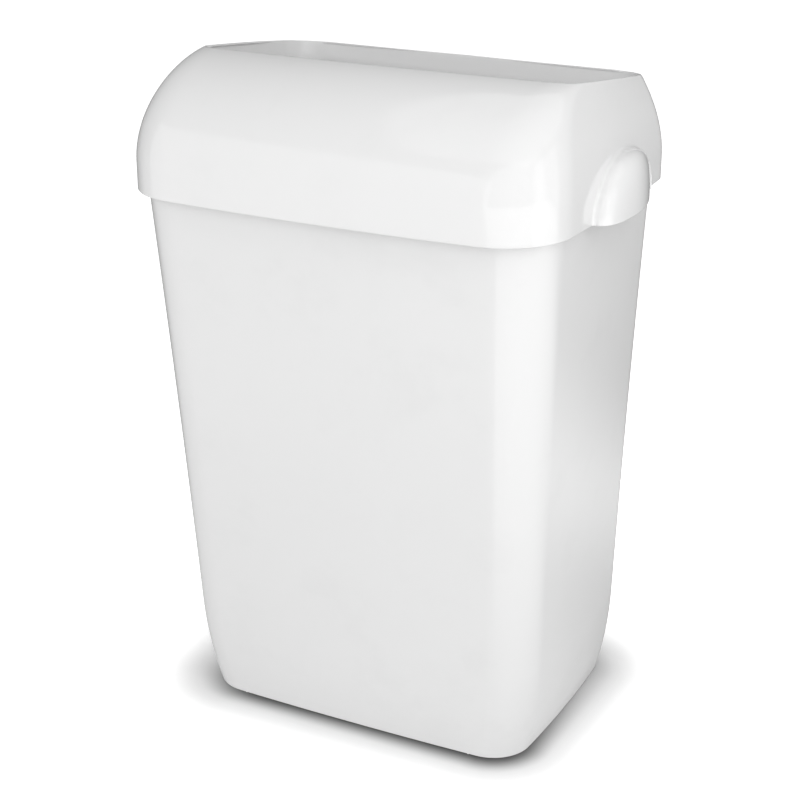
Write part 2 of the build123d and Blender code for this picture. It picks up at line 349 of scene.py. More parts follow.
# Hood: a shell worked out from the same tipped sections as the construction
turn_share = 1 - math.cos(dome_turn_end)
dome_reach = (hood_depth - mouth_depth) / turn_share
dome_rise = (hood_rise - dome_skirt_rise) / math.sin(dome_turn_end)


def hood_section(level):
    """Sizes of the hood's section at a level from -1 at the rim, by 0, to 1 at the mouth.

    Below 0 the level is a share of the upright skirt. Above it is a share of the angle
    turned along a quarter of an ellipse. The sides lean in along a parabola.
    """
    turn = np.maximum(level, 0) * dome_turn_end
    rise = dome_skirt_rise * (1 + np.minimum(level, 0)) + dome_rise * np.sin(turn)
    depth = hood_depth - dome_reach * (1 - np.cos(turn))
    lean = (np.maximum(rise - dome_skirt_rise, 0) / (hood_rise - dome_skirt_rise)) ** 2
    mix = (lean + (1 - np.cos(turn)) / turn_share) / 2
    drop = hood_back_drop * rise / hood_rise
    tip = np.arctan2(drop, depth)
    height = hood_rim_z + rise - drop
    half_width = blend(hood_half_width, mouth_half_width, lean)
    return half_width, depth / np.cos(tip), mix, tip, height


def hood_outside(level):
    """The hood's outer surface: half outlines on planes that tip with the mouth."""
    level = np.asarray(level)[:, None]
    half_width, depth, mix, tip, height = hood_section(level)
    flat = half_outline(
        half_width,
        0,
        depth,
        blend(hood_front_bow, mouth_front_bow, mix),
        blend(hood_side_bow, mouth_side_bow, mix),
        blend(hood_front_radius, mouth_front_radius, mix),
        blend(hood_rear_radius, mouth_rear_radius, mix),
    )
    forward = flat[..., 1]
    points = np.stack(
        [flat[..., 0], back_y + forward * np.cos(tip), height - forward * np.sin(tip)], axis=-1
    )
    upright = unit(points[-1] - points[-2])[:, 2]
    points[..., 2] += hood_edge * np.maximum(-level, 0)
    points[..., 2] -= mouth_edge * upright * np.maximum(level, 0) ** mouth_edge_fade
    return points


def hood_side_x(y, z):
    """How far out the hood's side stands at a place seen from the side.

    The level is found by halving: a section's height at that place grows with its level.
    """
    low = np.full(np.shape(y), -1.0)
    high = np.full(np.shape(y), side_search_end)
    for _ in range(halvings):
        level = (low + high) / 2
        _, _, _, tip, height = hood_section(level)
        under = height + (back_y - y) * np.tan(tip) < z
        low = np.where(under, level, low)
        high = np.where(under, high, level)
    half_width, depth, mix, tip, _ = hood_section(level)
    side_bow = blend(hood_side_bow, mouth_side_bow, mix)
    half_chord = (depth - blend(hood_front_bow, mouth_front_bow, mix)) / 2
    circle = (half_chord**2 + side_bow**2) / (2 * side_bow)
    from_middle = (back_y - y) / np.cos(tip) - half_chord
    return half_width - circle + np.sqrt(circle**2 - from_middle**2)


def hood_side_inner_x(y, z):
    """The inside of the hood's side: one wall in from the outside, square to it."""
    step = 0.5 * mm
    slope_y = (hood_side_x(y + step, z) - hood_side_x(y - step, z)) / (2 * step)
    slope_z = (hood_side_x(y, z + step) - hood_side_x(y, z)) / step
    return hood_side_x(y, z) - hood_wall * np.sqrt(1 + slope_y**2 + slope_z**2)


def finger_pull(border, side_x, inset):
    """A half dome that grows out of the hood's side inside a border of points.

    Rays run from the border to the dome's middle. They follow the side, turn up through a
    small fillet where they meet the half ellipse of the dome's foot, and then follow a
    Bezier profile to the crown. Distances along a ray are measured in dome radii. From a
    little in front of the middle the dome falls away to the back along a parabola.
    """
    base_z = hood_rim_z + hood_edge
    foot = np.array([pull_half_length - inset, pull_height - hood_edge - inset])
    spread = (border[:, 1:] - (pull_y, base_z)) / foot
    border_out = np.linalg.norm(spread, axis=1)
    ray = spread / border_out[:, None] * foot
    ray_length = np.linalg.norm(ray, axis=1)

    share = np.linspace(1, 0, pull_side_rows + 1)[1:, None] ** pull_crowding
    turn = np.linspace(0, math.pi / 2, pull_fillet_rows + 1)[1:, None]
    fillet_out = 1 + pull_root_round / ray_length
    on_side = blend(fillet_out, border_out, share)
    in_fillet = 1 + pull_root_round * (1 - np.sin(turn)) / ray_length
    out = np.concatenate([on_side, in_fillet])
    lift = np.concatenate([0 * share, pull_root_round * (1 - np.cos(turn))])
    y = pull_y + out * ray[:, 0]
    z = base_z + out * ray[:, 1]
    x = side_x(y, z) + lift

    t = np.linspace(0, 1, pull_dome_rows + 1)[:, None]
    bulge = pull_bulge - inset
    profile_x = 3 * t * (1 - t) ** 2 * pull_shoulder + (3 * t**2 * (1 - t) + t**3) * bulge
    crown = 1 - pull_crown / (pull_half_length - inset)
    profile_out = (1 - t) ** 3 + 3 * t * (1 - t) ** 2 + 3 * t**2 * (1 - t) * crown
    dome_y = pull_y + profile_out * ray[:, 0]
    dome_z = base_z + profile_out * ray[:, 1]
    along = (dome_y - pull_y) / pull_half_length
    fall = np.clip((along + pull_fall_start) / (1 + pull_fall_start), 0, 1) ** 2
    stand = pull_side_x + profile_x * (1 - fall) - inset * fall
    dome_x = (stand + (x[-1] - stand[0]) * (1 - t) ** pull_foot_fade)[1:]
    dome_y = dome_y[1:]
    dome_z = dome_z[1:]
    outer = np.stack([x, y, z], axis=-1)
    dome = np.stack([dome_x, dome_y, dome_z], axis=-1)
    return np.concatenate([border[None], outer, dome])


def hole_border(grid, row, first, last):
    """Points up one column of a grid, along one row and down another column."""
    rise = grid[: row + 1, first]
    along = grid[row, first + 1 : last]
    fall = grid[: row + 1, last][::-1]
    return np.concatenate([rise, along, fall])


def bar(one, other, place, across, upward, width, edge=bar_edge):
    """A flat bar with narrow chamfers: its face is the strip between two matched paths.

    The paths are flat, in the across and upward directions from a place, and the bar is
    thickened both ways. For a chamfer each point moves in along the mean of its two sides.
    """
    place, across, upward = np.asarray(place), np.asarray(across), np.asarray(upward)
    through = np.cross(across, upward)
    one, other = np.asarray(one), np.asarray(other)
    loop = np.concatenate([one, other[::-1]])
    ahead = np.roll(loop, -1, axis=0)
    if np.sum(loop[:, 0] * ahead[:, 1] - loop[:, 1] * ahead[:, 0]) < 0:
        one, other = other, one
        loop = np.concatenate([one, other[::-1]])
    after = unit(np.roll(loop, -1, axis=0) - loop)
    before = np.roll(after, 1, axis=0)
    inward = np.stack([-(before + after)[:, 1], (before + after)[:, 0]], axis=-1)
    small = loop + edge * inward / (1 + np.sum(before * after, axis=1, keepdims=True))

    def layer(flat, depth):
        return place + flat[:, :1] * across + flat[:, 1:] * upward + depth * through

    half = width / 2
    layers = ((small, -half), (loop, edge - half), (loop, half - edge), (small, half))
    sides = np.stack([layer(np.concatenate([flat, flat[:1]]), depth) for flat, depth in layers])
    count = len(one)
    caps = [
        (np.stack([layer(small[:count], depth), layer(small[count:][::-1], depth)]), depth > 0)
        for depth in (half, -half)
    ]
    return [(sides, True)] + caps


def hood_rib(x, y, inward, foot_z, width):
    """A rib on the hood's inner wall, standing on its foot and sloping back above it."""
    top_z = foot_z + rib_height
    knee_z = foot_z + rib_foot_height
    wall_side = [(-rib_root, foot_z), (-rib_root, knee_z), (-rib_root, top_z)]
    free_side = [(width, foot_z), (width, knee_z), (rib_root, top_z)]
    return bar(wall_side, free_side, (x, y, 0), inward, (0, 0, 1), rib_thickness)


def hood_ribs():
    """The right half's four ribs: front, back and two on the side."""
    outline = tub_outline([tub_rim_z], [0])[0]
    front = outline[-front_columns:]
    skirt = hood_outside([-1, -0.5])[-1]
    skirt_front = skirt[-front_columns:]
    tub_y = np.interp(-rib_front_x, -front[:, 0], front[:, 1])
    wall_y = np.interp(-rib_front_x, -skirt_front[:, 0], skirt_front[:, 1]) + hood_wall
    reach = tub_y - wall_y - rib_clearance
    ribs = hood_rib(rib_front_x, wall_y, (0, 1, 0), shelf_z, reach)
    ribs += hood_rib(rib_rear_x, back_y - hood_wall, (0, -1, 0), tub_rim_z, rib_rear_reach)
    for y in rib_side_y:
        wall_x = np.interp(-y, -skirt[:, 1], skirt[:, 0]) - hood_wall
        tub_x = np.interp(-y, -outline[:, 1], outline[:, 0])
        ribs += hood_rib(wall_x, y, (-1, 0, 0), shelf_z, wall_x - tub_x - rib_clearance)
    return ribs


def tub_outline(height, inset):
    """The tub's half outlines at a list of heights, each moved in by its inset.

    The sides are slightly hollow along a parabola, and the foot curls in along a circle
    that ends upright at the curl's top.
    """
    height = np.asarray(height, float)[:, None]
    inset = np.asarray(inset, float)[:, None]
    share = height / tub_rim_z
    below = np.maximum(base_curl_height - height, 0)
    curls = []
    for reach in (base_curl_side, base_curl_front):
        circle = (base_curl_height**2 + reach**2) / (2 * reach)
        curls.append(circle - np.sqrt(circle**2 - below**2))
    hollow = 4 * tub_side_hollow * share * (1 - share)
    flat = half_outline(
        blend(base_half_width, tub_half_width, share) - hollow - curls[0] - inset,
        tub_back_y - inset,
        blend(base_depth, tub_depth, share) - curls[1] - 2 * inset,
        blend(base_front_bow, tub_front_bow, share),
        blend(base_side_bow, tub_side_bow, share),
        blend(base_front_radius, tub_front_radius, share) - inset,
        blend(base_rear_radius, tub_rear_radius, share) - inset,
    )
    return np.concatenate([flat, height[:, None] + 0 * flat[..., :1]], axis=-1)


def to_pole(ring, rows=12):
    """Rings that shrink evenly from a ring to one point in the middle of its length."""
    pole = np.array([0, (ring[0, 1] + ring[-1, 1]) / 2, ring[0, 2]])
    return pole + (ring - pole) * np.linspace(1, 0, rows + 1)[:, None, None]


def corner_rows(radius, low_z, inset, steps=5):
    """Heights and insets of a quarter round that runs from an upright wall to a floor."""
    turn = np.linspace(0, math.pi / 2, steps + 1)
    return low_z + radius * (1 - np.sin(turn)), inset + radius * (1 - np.cos(turn))


def shelf_rows():
    """The shelf under the rim: a rounded ledge that dies away round the rear corners."""
    quarter = np.linspace(0, math.pi / 2, 4)
    rise_out = shelf_reach - shelf_edge * (1 - np.sin(quarter))
    rise_z = shelf_z - shelf_thickness + shelf_edge * (1 - np.cos(quarter))
    fall_z = shelf_z - shelf_edge * (1 - np.cos(quarter))
    out = np.concatenate([[0], rise_out, rise_out[::-1], [0]])
    height = np.concatenate([rise_z[:1], rise_z, fall_z[::-1], [shelf_z]])
    wall = tub_outline(height, 0 * height)
    ledge = tub_outline(height, -out)
    columns = np.arange(wall.shape[1]) - back_columns
    fade = np.clip(columns / rear_corner_columns, 0, 1)[:, None]
    return blend(wall, ledge, fade**2 * (3 - 2 * fade))


def ray_reach(direction, half, corner):
    """How far each ray from a rounded rectangle's middle runs to its outline, by halving."""
    low = np.zeros(len(direction))
    high = np.full(len(direction), 2 * max(half))
    for _ in range(halvings):
        reach = (low + high) / 2
        over = np.maximum(np.abs(direction * reach[:, None]) - (np.asarray(half) - corner), 0)
        inside = np.linalg.norm(over, axis=1) < corner
        low = np.where(inside, reach, low)
        high = np.where(inside, high, reach)
    return low


def block_border(grid, low, high, first, last):
    """The closed loop of points round a block of a grid, from its low row to its high row."""
    step = 1 if high > low else -1
    up = np.arange(low, high, step)
    over = np.arange(first, last)
    rows = [low + 0 * over, up, high + 0 * over, up[::-1] + step, [low]]
    columns = [over, last + 0 * up, over[::-1] + 1, first + 0 * up, [first]]
    return grid[np.concatenate(rows), np.concatenate(columns)]


def wall_boss(outside, inside):
    """A slotted boss on the flat back, as rings between two loops round a hole in the wall.

    Rings run from the outer loop up a small fillet, over the boss's rounded edge, down
    through the slot and out to the inner loop. Each point keeps to its own ray.
    """
    middle = np.array([boss_x, boss_z])
    direction = unit(outside[:, [0, 2]] - middle)
    wall_y = outside[0, 1]
    inner_y = inside[0, 1]
    quarter = np.linspace(0, math.pi / 2, 4)
    rings = []

    def ring(half, corner, grow, y):
        grown = np.asarray(half) + grow
        flat = middle + direction * ray_reach(direction, grown, corner + grow)[:, None]
        rings.append(np.stack([flat[:, 0], y + 0 * flat[:, 0], flat[:, 1]], axis=-1))

    for turn in quarter:
        grow = boss_root_round * (1 - math.sin(turn))
        ring(boss_half, boss_corner, grow, wall_y + boss_root_round * (1 - math.cos(turn)))
    for turn in quarter:
        grow = -boss_edge * (1 - math.cos(turn))
        ring(boss_half, boss_corner, grow, back_y - boss_edge * (1 - math.sin(turn)))
    ring(slot_half, slot_half[1], slot_edge, back_y)
    ring(slot_half, slot_half[1], 0, back_y - slot_edge)
    ring(slot_half, slot_half[1], 0, inner_y + slot_edge)
    ring(slot_half, slot_half[1], slot_edge, inner_y)
    first = (outside + rings[0]) / 2
    last = (rings[-1] + inside) / 2
    return np.stack([outside, first, *rings, last, inside])


def ring_of(profile, x, y):
    """A round piece: a profile of radii and heights spun round an upright line."""
    turn = np.linspace(0, -2 * math.pi, spin_columns + 1)
    radius, height = np.asarray(profile).T[:, :, None]
    return np.stack(
        [x + radius * np.cos(turn), y + radius * np.sin(turn), height + 0 * turn], axis=-1
    )


def under_floor():
    """Foot sockets and the ribs between them, on the underside of the floor."""
    root_z = (floor_underside_z + floor_top_z) / 2
    grids = []
    for y in (foot_front_y, foot_rear_y):
        profile = [
            (socket_inside, root_z),
            (socket_inside, socket_rim_z + bar_edge),
            (socket_inside + bar_edge, socket_rim_z),
            (socket_outside - bar_edge, socket_rim_z),
            (socket_outside, socket_rim_z + bar_edge),
            (socket_outside, root_z),
            (socket_inside, root_z),
        ]
        grids.append((ring_of(profile, foot_x, y), False))
    outline = tub_outline([base_rim_z], [tub_wall / 2])[0]
    front, rear = outline[-1, 1], outline[0, 1]
    wall_x = np.interp(-np.array([foot_front_y, foot_rear_y]), -outline[:, 1], outline[:, 0])
    in_socket = (socket_inside + socket_outside) / 2
    lengthways = (
        (front, foot_front_y - in_socket),
        (foot_front_y + in_socket, foot_rear_y - in_socket),
        (foot_rear_y + in_socket, rear),
    )
    heights = (base_rim_z, root_z)
    paths = [((foot_x, 0, 0), (0, 1, 0), start, end) for start, end in lengthways]
    for y, end in zip((foot_front_y, foot_rear_y), wall_x):
        paths.append(((0, y, 0), (1, 0, 0), foot_x + in_socket, end))
        paths.append(((0, y, 0), (1, 0, 0), floor_rib_thickness / 4, foot_x - in_socket))
    for place, along, start, end in paths:
        low, high = [[(start, z), (end, z)] for z in heights]
        grids += bar(low, high, place, along, (0, 0, 1), floor_rib_thickness)
    low, high = [[(front, z), (rear, z)] for z in heights]
    middle_rib = bar(low, high, (0, 0, 0), (0, 1, 0), (0, 0, 1), floor_rib_thickness)
    return both(grids) + middle_rib


def make_tub():
    """The tub as one sheet from the middle of its underside to the middle of its floor."""
    block_low_z, block_high_z = boss_z - boss_block_half, boss_z + boss_block_half
    low_z = base_rim_z + base_edge
    lip_z = tub_rim_z - tub_edge
    below_boss = np.linspace(base_curl_height, block_low_z, taper_rows + 1)[1:]
    past_boss = np.linspace(block_low_z, block_high_z, boss_rows + 1)[1:]
    corner_z, corner_in = corner_rows(floor_corner, floor_top_z, tub_wall)
    inside_z = np.concatenate(
        [
            [lip_z],
            np.linspace(shelf_z, block_high_z, rim_rows + 1),
            past_boss[-2::-1],
            [block_low_z],
            below_boss[-2::-1],
            np.linspace(base_curl_height, corner_z[0], inner_curl_rows + 1),
        ]
    )
    outside_z = np.concatenate(
        [
            np.linspace(low_z, base_curl_height, curl_rows + 1),
            below_boss,
            past_boss,
            np.linspace(block_high_z, shelf_z - shelf_thickness, rim_rows + 1)[1:-1],
        ]
    )
    recess_z, recess_in = corner_rows(-underside_corner, floor_underside_z, tub_wall)
    recess_in = 2 * tub_wall - recess_in
    recess = tub_outline(recess_z, recess_in)
    recess_foot = tub_outline([low_z], [tub_wall])
    outside = tub_outline(outside_z, 0 * outside_z)
    lip_foot = tub_outline([lip_z], [0])
    inside = tub_outline(inside_z, 0 * inside_z + tub_wall)
    corner = tub_outline(corner_z, corner_in)
    grid = np.concatenate(
        [
            to_pole(recess[-1])[::-1],
            recess[::-1],
            recess_foot,
            edge_round(recess_foot[0], outside[0], (0, 0, -1), base_edge),
            outside,
            shelf_rows(),
            lip_foot,
            edge_round(lip_foot[0], inside[0], (0, 0, 1), tub_edge),
            inside,
            corner,
            to_pole(corner[-1]),
        ]
    )
    x = grid[:, :back_columns, 0]
    z = grid[:, back_columns // 2, 2]
    near = np.abs(x[np.argmin(np.abs(z - boss_z))] - boss_x) < boss_half[0] + boss_border
    columns = np.nonzero(near)[0]
    first, last = columns[0] - 1, columns[-1] + 1
    out_low, in_low = np.nonzero(np.abs(z - block_low_z) < same_place)[0][[0, -1]]
    out_high, in_high = np.nonzero(np.abs(z - block_high_z) < same_place)[0][[0, -1]]
    outer_loop = block_border(grid, out_low, out_high, first, last)
    inner_loop = block_border(grid, in_low, in_high, first, last)
    strip = grid[:, first : last + 1]
    sheets = (
        grid[:, : first + 1],
        grid[:, last:],
        strip[: out_low + 1],
        strip[out_high : in_high + 1],
        strip[in_low:],
        wall_boss(outer_loop, inner_loop),
    )
    return [(sheet, False) for sheet in sheets]


def make_ring():
    """One loop of round wire along the tub's inside, with a low weld bead at the back."""
    line = tub_outline([wire_z], [wire_inset])[0]
    bead = np.linspace(0, 3 * weld_spread, 10)[:-1, None] * (1, 0, 0) + line[:1]
    line = np.concatenate([bead, line[1:]])
    ahead = np.gradient(line, axis=0)
    ahead[0] = (1, 0, 0)
    ahead[-1] = (-1, 0, 0)
    out = np.cross((0, 0, 1), unit(ahead))
    on_back = line[:, 1] > line[0, 1] - 0.1 * mm
    rise = weld_rise * np.exp(-((line[:, 0] / weld_spread) ** 2)) * on_back
    turn = np.linspace(0, 2 * math.pi, wire_rows + 1)[:, None, None]
    radius = (wire_radius + rise)[:, None]
    return [(line + radius * (np.cos(turn) * out + np.sin(turn) * np.array([0, 0, 1])), False)]


def make_clip(lean):
    """A clip's two matched paths: over the rim and round the saddle, and under them.

    They lean with the wall, so the further below the rim a point is, the further in it lies.
    """
    wall_in = tub_wall + clip_fit
    turn = np.linspace(math.pi, 2 * math.pi, groove_rows + 1)
    groove_x = wire_inset + clip_groove * np.cos(turn)
    groove_z = wire_z + clip_groove * np.sin(turn)
    top_z = tub_rim_z + clip_leg
    bevel_z = clip_saddle_foot_z + clip_bevel
    over = [
        (-clip_fit - clip_leg, clip_outer_foot_z),
        (-clip_fit - clip_leg, top_z),
        (wall_in + clip_leg, top_z),
        (wall_in + clip_leg, wire_z),
    ]
    over += list(zip(groove_x, groove_z)) + [(clip_saddle_in, wire_z)]
    under = [
        (-clip_fit, clip_outer_foot_z),
        (-clip_fit, tub_rim_z),
        (wall_in, tub_rim_z),
        (wall_in, (wire_z + clip_saddle_foot_z) / 2),
        (wall_in, clip_saddle_foot_z),
    ]
    along_foot = np.linspace(wall_in, clip_saddle_in - clip_bevel, groove_rows + 1)[1:]
    under += [(x, clip_saddle_foot_z) for x in along_foot] + [(clip_saddle_in, bevel_z)]
    leaning = np.array([-lean, 0])
    paths = np.array(over), np.array(under)
    return [path + (path[:, 1:] - tub_rim_z) * leaning for path in paths]


def foot_pad(y):
    """A round rubber pad with a rounded lower edge and flat faces."""
    turn = np.linspace(0, math.pi / 2, 6)
    edge_out = foot_radius - foot_edge * (1 - np.sin(turn))
    edge_z = foot_edge * (1 - np.cos(turn))
    rim = foot_radius * np.linspace(0, 1, 5)[:-1]
    low = [(radius, 0) for radius in rim[:-1]]
    high = [(radius, foot_high.z) for radius in rim[::-1]]
    profile = low + list(zip(edge_out, edge_z)) + [(foot_radius, foot_high.z)] + high
    return [(ring_of(profile, foot_x, y), False)]


def mouth_flange():
    """A thin flange round the mouth: it hangs from the edge and leans in as it goes down.

    Its rows go down its outside, round its lower edge and up its inside. It starts just
    inside the edge of the mouth, and at the front nearly flush with that edge.
    """
    low, high = hood_outside([0.98, 1])
    upright = unit(high - low)[:, 2:]
    wall, edge = flange_wall, flange_wall / 4
    near_foot = 2 * edge / flange_drop
    across = np.array([0, 0, 0, edge, wall - edge, wall, wall, wall, 0])
    up = np.array([1, 0.5, near_foot, 0, 0, near_foot, 0.5, 1, 1])
    down = flange_drop - up * (flange_drop - mouth_edge)
    half_width, depth, _, tip, height = hood_section(np.ones((len(down), 1)))
    outlines = []
    for start in flange_start:
        inset = (start + across - flange_wall + flange_slope * down)[:, None]
        outlines.append(
            half_outline(
                half_width - inset,
                -inset,
                depth - 2 * inset,
                mouth_front_bow + 0 * inset,
                mouth_side_bow + 0 * inset,
                mouth_front_radius - inset,
                mouth_rear_radius - inset,
            )
        )
    flat = blend(outlines[0], outlines[1], upright)
    below = down[:, None]
    forward = flat[..., 1]
    y = back_y + forward * np.cos(tip) - below * np.sin(tip)
    z = height - forward * np.sin(tip) - below * np.cos(tip)
    return [(np.stack([flat[..., 0], y, z], axis=-1), True)]


def make_hood():
    """Outer and inner shells, finger pull, rounded mouth and rim, and the ribs inside."""
    skirt = np.linspace(-1, 0, skirt_rows + 1)[:-1]
    level = np.concatenate([skirt, np.linspace(0, 1, dome_rows + 1)])
    outer = hood_outside(level)
    inner = outer - hood_wall * away(outer)
    base_z = hood_rim_z + hood_edge
    inner[0, :, 2] = base_z
    side_start = back_columns + rear_corner_columns
    reach = pull_half_length + pull_border_side
    side_y = outer[0, :, 1]
    columns = np.arange(len(side_y))
    on_side = (columns > side_start) & (columns < side_start + side_columns)
    inside = on_side & (np.abs(side_y - pull_y) < reach)
    first, last = columns[inside][0] - 1, columns[inside][-1] + 1
    middle = (first + last) // 2
    over_pull = hood_rim_z + pull_height + pull_border_top
    top = int(np.argmax(outer[:, middle, 2] > over_pull))

    outer_pull = finger_pull(hole_border(outer, top, first, last), hood_side_x, 0)
    inner_pull = finger_pull(hole_border(inner, top, first, last), hood_side_inner_x, hood_wall)
    mouth_direction = unit(outer[-1] - outer[-2])
    rims = []
    for shell, pull in ((outer, outer_pull), (inner, inner_pull)):
        near, far = pull[:, 0], pull[::-1, -1]
        rims.append(np.concatenate([shell[0, :first], near, far[1:], shell[0, last + 1 :]]))
    grids = [
        (edge_round(rims[0], rims[1], (0, 0, -1), hood_edge), True),
        (edge_round(outer[-1], inner[-1], mouth_direction, mouth_edge), False),
        (outer_pull, True),
        (inner_pull, False),
    ]
    for shell, turned in ((outer, False), (inner, True)):
        grids.append((shell[:, : first + 1], turned))
        grids.append((shell[:, last:], turned))
        grids.append((shell[top:, first : last + 1], turned))
    return grids + mouth_flange() + hood_ribs()


pieces = {}


def keep(piece, node, body, slot):
    """Put a piece in a node's place: it hides the node and moves with its body."""
    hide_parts(node)
    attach(piece, body)
    pieces.setdefault(slot, []).append(piece)


keep(make_piece("hood_shell", both(make_hood())), "hood", "hood", "hood_plastic")
keep(make_piece("tub_shell", both(make_tub()) + under_floor()), "tub", "tub", "tub_plastic")
keep(make_piece("ring_wire", both(make_ring())), "bag_ring", "bag_ring", "ring_steel")

rim = tub_outline([tub_rim_z], [0])[0]
rim_front = rim[-front_columns:]
clip_front_y = np.interp(-clip_x, -rim_front[:, 0], rim_front[:, 1])
bow = tub_front_bow
chord = tub_half_width - tub_side_bow
clip_turn = math.asin(clip_x * 2 * bow / (chord**2 + bow**2))
front_in = (-math.sin(clip_turn), math.cos(clip_turn), 0)
front_lean = (tub_depth - base_depth) / tub_rim_z
for side_name, placed in (("right", list), ("left", flipped)):
    for end, y, inward, lean in (
        ("front", clip_front_y, front_in, front_lean),
        ("rear", tub_back_y, (0, -1, 0), 0),
    ):
        one, other = make_clip(lean)
        grids = bar(one, other, (clip_x, y, 0), inward, (0, 0, 1), clip_width)
        clip = make_piece(f"clip_{end}_{side_name}", placed(grids))
        keep(clip, f"ring_clip_{end}_{side_name}", "tub", "clip_plastic")
    for end, y in (("front", foot_front_y), ("rear", foot_rear_y)):
        pad = make_piece(f"pad_{end}_{side_name}", placed(foot_pad(y)))
        keep(pad, f"foot_{end}_{side_name}", "tub", "foot_rubber")


# Materials: every pattern is worked out from the place on the object, in metres
scuff_height = 55 * mm
dust_height = 4 * mm


def give(tree, socket, value):
    """Link a socket to another node's output, or set it to a plain value."""
    if isinstance(value, bpy.types.NodeSocket):
        tree.links.new(value, socket)
    else:
        socket.default_value = value


def add_node(tree, kind, **inputs):
    """A node with its named inputs set, or linked where a value is another node's output."""
    made = tree.nodes.new(kind)
    for name, value in inputs.items():
        give(tree, made.inputs[name], value)
    return made


def noise(tree, place, scale, detail=2.0, roughness=0.5):
    """Values from about 0.2 to 0.8 in soft patches, at so many patches to the metre."""
    made = add_node(
        tree, "ShaderNodeTexNoise", Vector=place, Scale=scale, Detail=detail, Roughness=roughness
    )
    return made.outputs["Fac"]


def calculate(tree, operation, first, second=0.0, third=0.0):
    """One step of arithmetic."""
    made = tree.nodes.new("ShaderNodeMath")
    made.operation = operation
    for socket, value in zip(made.inputs, (first, second, third)):
        give(tree, socket, value)
    return made.outputs[0]


def product(tree, first, *rest):
    """Two or more values multiplied together."""
    for value in rest:
        first = calculate(tree, "MULTIPLY", first, value)
    return first


def ramp(tree, value, low, high, to_low=0.0, to_high=1.0):
    """A smooth change from one value to another as the input goes from low to high."""
    made = tree.nodes.new("ShaderNodeMapRange")
    made.interpolation_type = "SMOOTHSTEP"
    names = ("Value", "From Min", "From Max", "To Min", "To Max")
    for name, given in zip(names, (value, low, high, to_low, to_high)):
        give(tree, made.inputs[name], given)
    return made.outputs["Result"]


def vector_step(tree, operation, first, second=None):
    """One step of arithmetic on places, as the node that does it."""
    made = tree.nodes.new("ShaderNodeVectorMath")
    made.operation = operation
    give(tree, made.inputs[0], first)
    if second:
        give(tree, made.inputs[1], second)
    return made


def streaks(tree, place, factors):
    """Noise on a place stretched along the axes, so that its patches become streaks."""
    return noise(tree, vector_step(tree, "MULTIPLY", place, factors).outputs[0], 1.0)


def axis(tree, place, name):
    """How far along one axis a place is."""
    return add_node(tree, "ShaderNodeSeparateXYZ", Vector=place).outputs[name]


def new_group(name, inputs):
    """An empty group with place and tint inputs, the given float inputs and shared outputs."""
    group = bpy.data.node_groups.new(name, "ShaderNodeTree")
    sockets = [("Place", "INPUT", "Vector"), ("Tint", "INPUT", "Color")]
    sockets += [(given, "INPUT", "Float") for given in inputs]
    sockets += [("Colour", "OUTPUT", "Color")]
    sockets += [(result, "OUTPUT", "Float") for result in ("Roughness", "Relief")]
    for socket_name, way, kind in sockets:
        group.interface.new_socket(socket_name, in_out=way, socket_type="NodeSocket" + kind)
    given = group.nodes.new("NodeGroupInput").outputs
    return group, given, group.nodes.new("NodeGroupOutput").inputs


def finish_group(tree, result, tint, shade, roughness, relief):
    """Send out a finish: its tint made lighter or darker, its roughness and its relief."""
    tinted = vector_step(tree, "SCALE", tint)
    give(tree, tinted.inputs["Scale"], shade)
    tree.links.new(tinted.outputs[0], result["Colour"])
    tree.links.new(roughness, result["Roughness"])
    tree.links.new(relief, result["Relief"])
    return tree


def moulded_finish():
    """Polished moulded plastic: a faint drift of tone, a soft ripple, and light handling marks.

    Fine scratches run round and up the wall, only inside patches, and the lowest few
    centimetres are scuffed more by the floor.
    """
    tree, given, result = new_group("moulded finish", ("Gloss", "Drift", "Wear"))
    place = given["Place"]
    drift = calculate(tree, "SUBTRACT", noise(tree, place, 6.0), 0.5)
    ripple = noise(tree, place, 55.0, 1.0)
    grain = noise(tree, place, 1400.0, 1.0)
    patches = ramp(tree, noise(tree, place, 14.0, 4.0, 0.6), 0.5, 0.72)
    level = streaks(tree, place, (30.0, 30.0, 1900.0))
    upright = streaks(tree, place, (1500.0, 1500.0, 25.0))
    scratches = ramp(tree, calculate(tree, "MAXIMUM", level, upright), 0.66, 0.78)
    low_down = ramp(tree, axis(tree, place, "Z"), 0.0, scuff_height, 1.0, 0.0)
    rubbed = calculate(tree, "MULTIPLY_ADD", low_down, 0.8, patches)
    worn = product(tree, rubbed, scratches, given["Wear"])
    haze = product(tree, rubbed, given["Wear"], 0.05)
    shade = calculate(tree, "MULTIPLY_ADD", drift, given["Drift"], 1.0)
    shade = calculate(tree, "MULTIPLY_ADD", worn, -0.05, shade)
    shade = calculate(tree, "MULTIPLY_ADD", haze, -0.4, shade)
    dull = calculate(tree, "ADD", given["Gloss"], haze)
    rough = calculate(tree, "MULTIPLY_ADD", worn, 0.22, dull)
    relief = calculate(tree, "MULTIPLY_ADD", grain, 0.06, ripple)
    relief = calculate(tree, "MULTIPLY_ADD", worn, -0.12, relief)
    return finish_group(tree, result, given["Tint"], shade, rough, relief)


